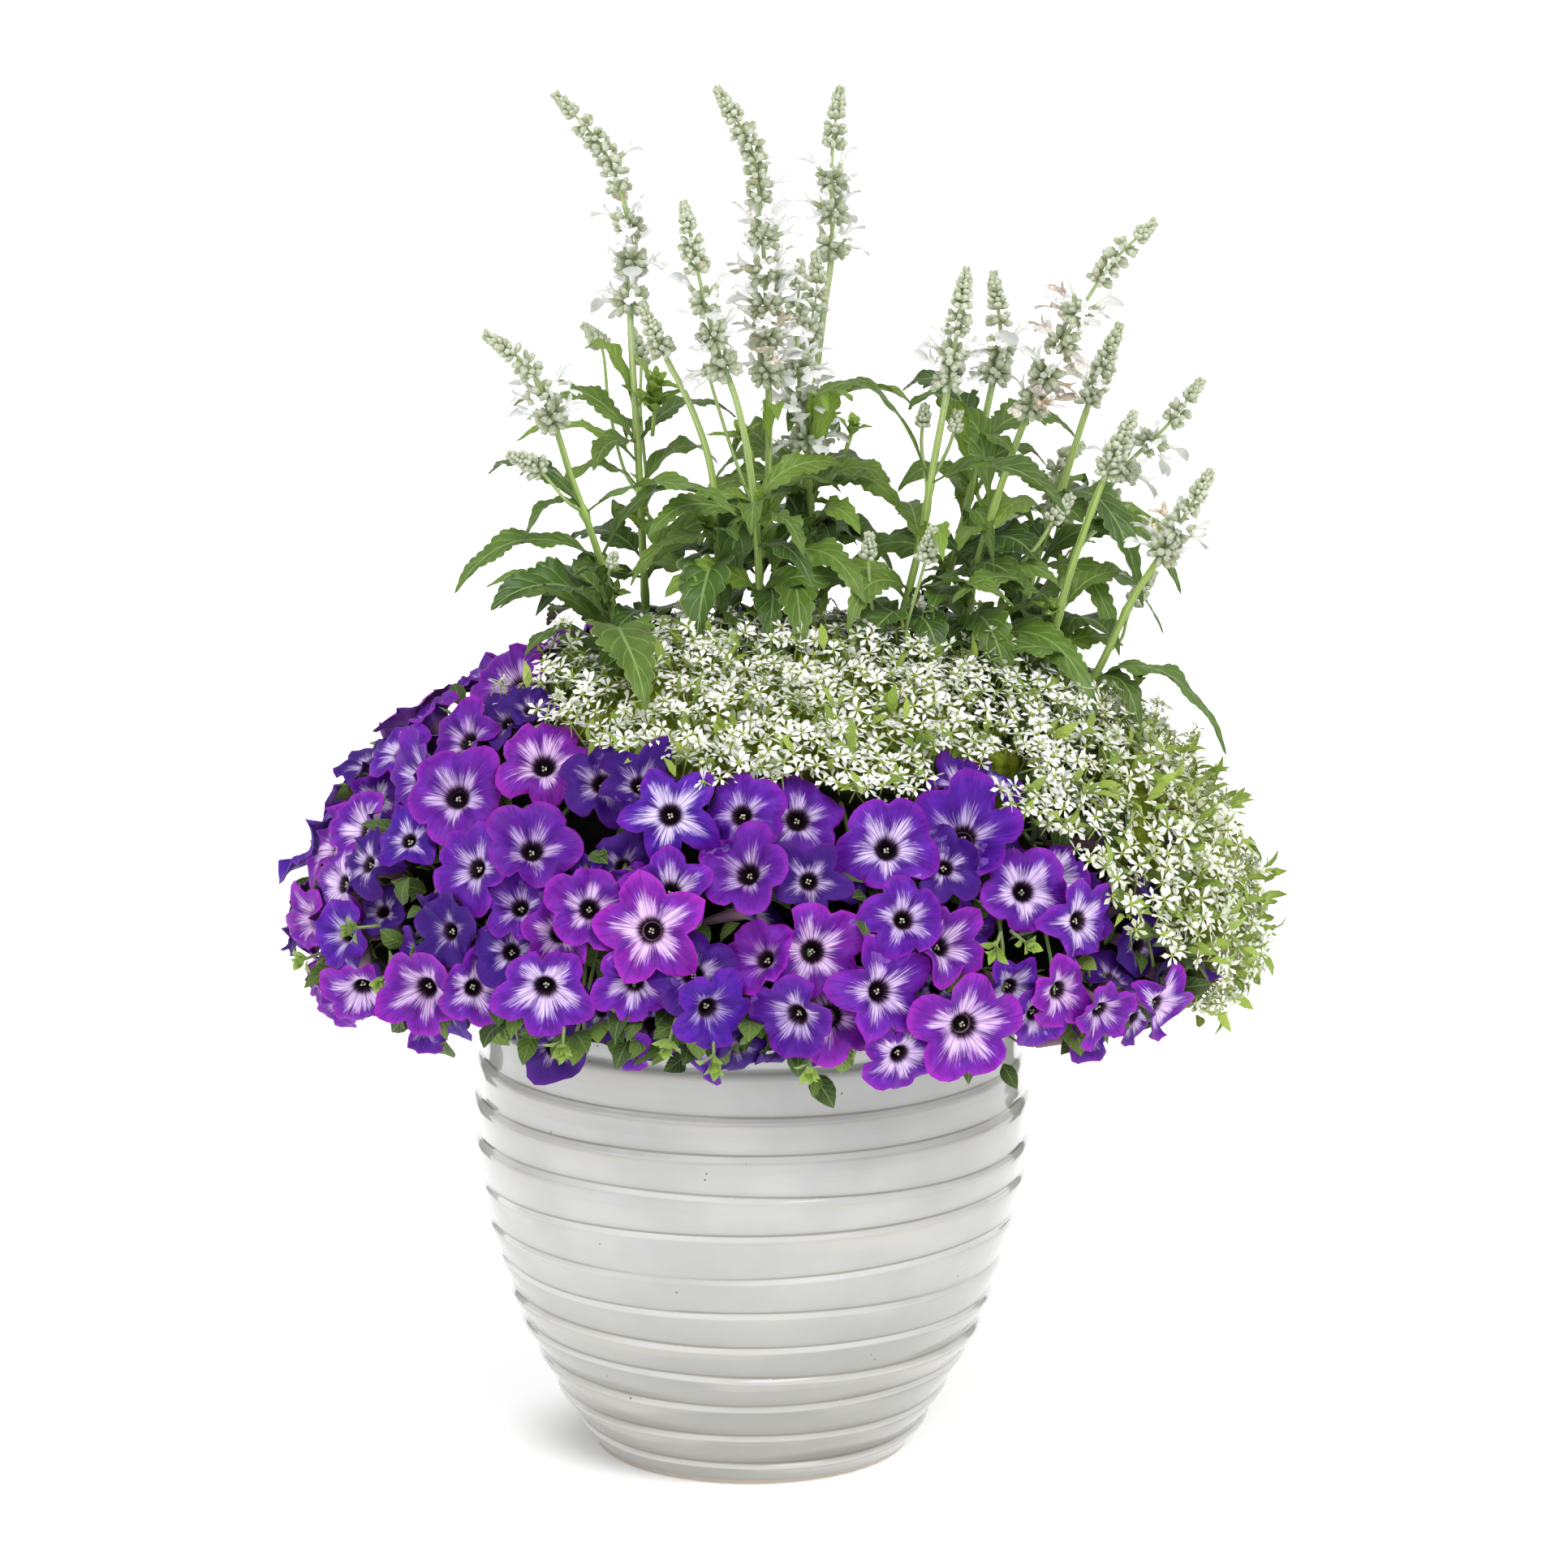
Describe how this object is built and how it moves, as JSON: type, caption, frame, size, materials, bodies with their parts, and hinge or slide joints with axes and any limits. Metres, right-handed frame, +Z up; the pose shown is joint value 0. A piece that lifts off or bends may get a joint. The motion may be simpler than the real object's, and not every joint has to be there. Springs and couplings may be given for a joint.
{
  "type": "potted mealycup sage",
  "caption": "Ridged glazed pot planted with white mealycup sage, with a white euphorbia mound and trailing violet petunias round it, resting on its flat foot.",
  "frame": {"origin": "centre of the pot's flat underside", "axes": "+Z up; -Y is the front that the picture shows; +X is to the right seen from the front"},
  "size_m": [0.6042, 0.5009, 0.8557],
  "materials": {
    "glaze": "gloss off-white glaze over thrown ridges",
    "potting_mix": "matte crumbly bark and coir mix",
    "sage_stem": "matte light green stem, mealy near the spike",
    "sage_leaf": "satin green leaf with paler veins",
    "sage_flower": "matte mealy grey-green calyces with white florets",
    "petunia_leaf": "matte soft hairy green leaf",
    "petunia_petal": "satin violet petal with a pale star",
    "euphorbia": "matte green stems and leaves with white blooms"
  },
  "bodies": {
    "root": {"euphorbia_foliage_front": "euphorbia", "euphorbia_foliage_right": "euphorbia", "petunia_flower_back": "petunia_petal", "petunia_flower_back_left": "petunia_petal", "petunia_flower_front": "petunia_petal", "petunia_flower_front_low": "petunia_petal", "petunia_flower_front_upper": "petunia_petal", "petunia_flower_left": "petunia_petal", "petunia_flower_left_front": "petunia_petal", "petunia_flower_left_upper": "petunia_petal", "petunia_flower_right": "petunia_petal", "petunia_flower_right_low": "petunia_petal", "petunia_foliage_back": "petunia_leaf", "petunia_foliage_front": "petunia_leaf", "petunia_foliage_left": "petunia_leaf", "petunia_foliage_right": "petunia_leaf", "pot": "glaze", "potting_mix": "potting_mix", "sage_leaves_centre_tall_1": "sage_leaf", "sage_leaves_left_low_1": "sage_leaf", "sage_leaves_left_low_2": "sage_leaf", "sage_leaves_left_low_3": "sage_leaf", "sage_leaves_left_low_4": "sage_leaf", "sage_leaves_left_tall_1": "sage_leaf", "sage_leaves_right_arch_1": "sage_leaf", "sage_leaves_right_back_1": "sage_leaf", "sage_leaves_right_far_1": "sage_leaf", "sage_leaves_right_front_1": "sage_leaf", "sage_leaves_right_low_1": "sage_leaf", "sage_leaves_right_short_1": "sage_leaf", "sage_leaves_right_tall_1": "sage_leaf", "sage_spike_centre_tall": "sage_flower", "sage_spike_left_bud": "sage_flower", "sage_spike_left_low": "sage_flower", "sage_spike_left_middle": "sage_flower", "sage_spike_left_tall": "sage_flower", "sage_spike_right_arch": "sage_flower", "sage_spike_right_back": "sage_flower", "sage_spike_right_far": "sage_flower", "sage_spike_right_front": "sage_flower", "sage_spike_right_lean": "sage_flower", "sage_spike_right_low": "sage_flower", "sage_spike_right_middle": "sage_flower", "sage_spike_right_short": "sage_flower", "sage_spike_right_tall": "sage_flower", "sage_stem_centre_tall": "sage_stem", "sage_stem_left_bud": "sage_stem", "sage_stem_left_low": "sage_stem", "sage_stem_left_middle": "sage_stem", "sage_stem_left_tall": "sage_stem", "sage_stem_right_arch": "sage_stem", "sage_stem_right_back": "sage_stem", "sage_stem_right_far": "sage_stem", "sage_stem_right_front": "sage_stem", "sage_stem_right_lean": "sage_stem", "sage_stem_right_low": "sage_stem", "sage_stem_right_middle": "sage_stem", "sage_stem_right_short": "sage_stem", "sage_stem_right_tall": "sage_stem"}
  },
  "joints": []
}
